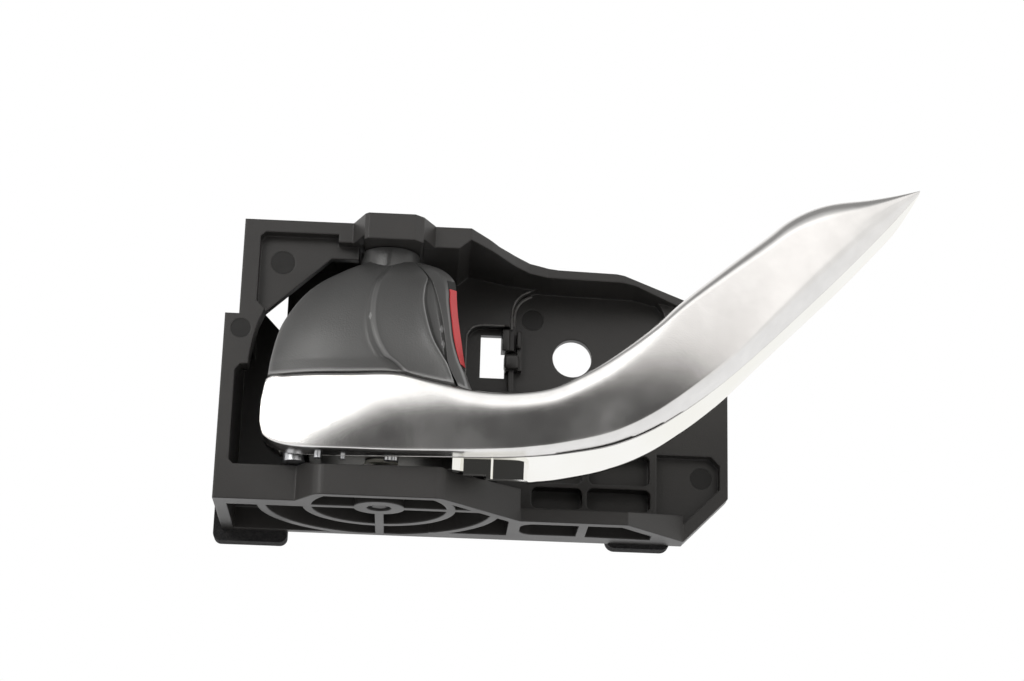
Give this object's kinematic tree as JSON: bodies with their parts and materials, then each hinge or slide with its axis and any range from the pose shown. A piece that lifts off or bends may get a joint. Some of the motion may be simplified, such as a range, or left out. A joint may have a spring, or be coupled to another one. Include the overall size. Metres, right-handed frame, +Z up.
{
  "type": "car interior door handle",
  "caption": "Black moulded bracket with a satin chrome pull lever and a dark rocking lock knob on one upright pivot pin.",
  "frame": {"origin": "middle of the round fixing hole, on the rear face that sits against the door", "axes": "+X along the door to the lever's free end, +Y into the door, +Z up, along the pivot pin"},
  "size_m": [0.1958, 0.067, 0.096],
  "materials": {
    "black_moulding": "fine-grained black injection moulding with a soft satin sheen",
    "satin_chrome": "satin chrome plating on moulded plastic",
    "zinc_steel": "bright zinc-plated steel",
    "spring_steel": "plain spring steel",
    "soft_grey": "dark grey soft-touch coating",
    "red_insert": "plain red, half gloss",
    "natural_nylon": "natural nylon",
    "black_rubber": "soft black rubber",
    "black_foam": "open-cell black foam with a rough, fuzzy skin"
  },
  "bodies": {
    "bracket": {"housing": "black_moulding", "pivot_pin": "zinc_steel", "pin_retainer_ring": "spring_steel", "thrust_washer": "natural_nylon", "lock_detent_spring": "spring_steel", "lever_stop_bumper": "black_rubber", "lever_end_cushion": "black_rubber", "foam_pad_left": "black_foam", "foam_pad_right": "black_foam"},
    "lever": {"lever_front_cover": "satin_chrome", "lever_back_cover": "satin_chrome", "lever_screw": "zinc_steel", "lever_return_spring": "spring_steel"},
    "knob": {"lock_knob": "soft_grey", "lock_indicator": "red_insert"}
  },
  "joints": [
    {"name": "lever_hinge", "type": "hinge", "parent": "bracket", "child": "lever", "pos_m": [-0.0545, -0.033, -0.033], "axis": [0, 0, -1], "range_deg": [0, 38], "stiffness_Nm_per_rad": 0.35, "springref_deg": -20.05, "deforming": ["lever_return_spring"]},
    {"name": "lock_knob_hinge", "type": "hinge", "parent": "bracket", "child": "knob", "pos_m": [-0.0545, -0.033, -0.005], "axis": [0, 0, 1], "range_deg": [0, 18]}
  ]
}
